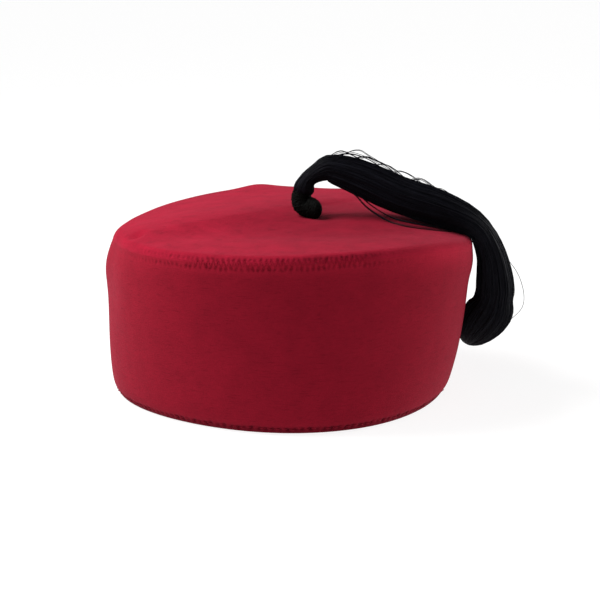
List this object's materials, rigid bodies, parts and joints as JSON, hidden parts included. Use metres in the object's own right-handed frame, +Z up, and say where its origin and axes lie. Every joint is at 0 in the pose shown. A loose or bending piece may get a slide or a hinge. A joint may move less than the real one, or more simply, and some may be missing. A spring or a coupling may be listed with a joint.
{
  "type": "fez hat",
  "caption": "Low, wide felt fez with a flat sewn-on crown, open head hollow and a black silk tassel that falls over one side.",
  "frame": {"origin": "centre of the head opening, in the plane of the rim that the hat rests on", "axes": "+Z up along the cap's axis, +X towards the side that the tassel falls over, -Y towards the front"},
  "size_m": [0.2361, 0.214, 0.1383],
  "materials": {
    "band_felt": "matte pressed wool felt, crimson",
    "crown_felt": "matte pressed wool felt, crimson",
    "knot_silk": "wound black silk cord",
    "tassel_silk": "loose black silk strands"
  },
  "bodies": {
    "root": {"side_band": "band_felt", "crown": "crown_felt", "tassel_knot": "knot_silk", "tassel": "tassel_silk"}
  },
  "joints": []
}
